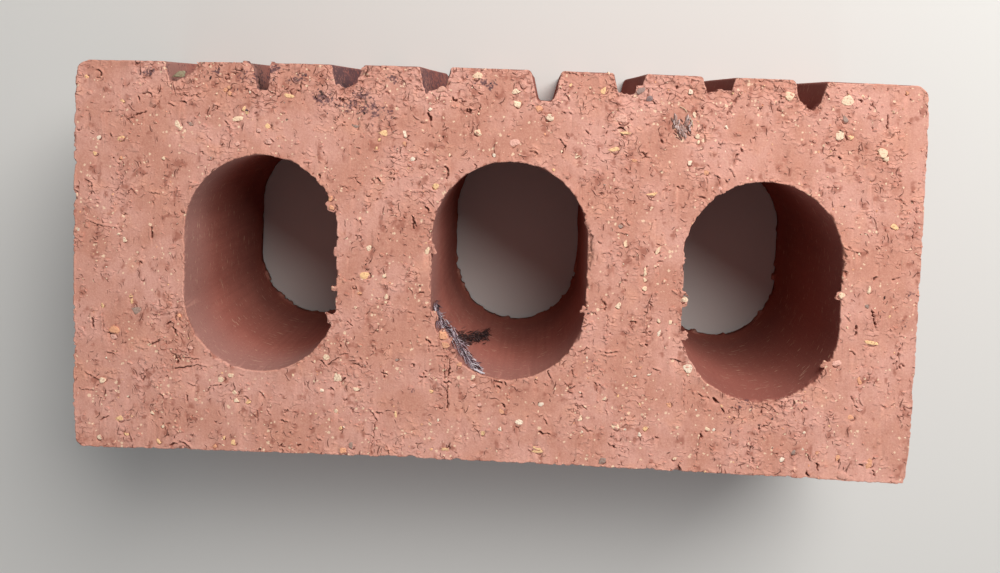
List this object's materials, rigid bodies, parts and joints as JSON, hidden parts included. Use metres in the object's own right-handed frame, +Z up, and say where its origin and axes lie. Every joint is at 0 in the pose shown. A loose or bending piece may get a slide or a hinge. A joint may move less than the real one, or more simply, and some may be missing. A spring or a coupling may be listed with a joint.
{
  "type": "clay brick",
  "caption": "Extruded wire-cut clay brick with round-ended perforations from bed to bed and mortar keys along one stretcher face.",
  "frame": {"origin": "middle of the lower bed face, at the centre of the bounding box's bottom", "axes": "+X along the length, +Y across the width towards the grooved stretcher face, +Z up from the lower bed to the upper bed"},
  "size_m": [0.22, 0.104, 0.065],
  "materials": {
    "fired_clay": "matt"
  },
  "bodies": {
    "root": {"clay_brick": "fired_clay"}
  },
  "joints": []
}
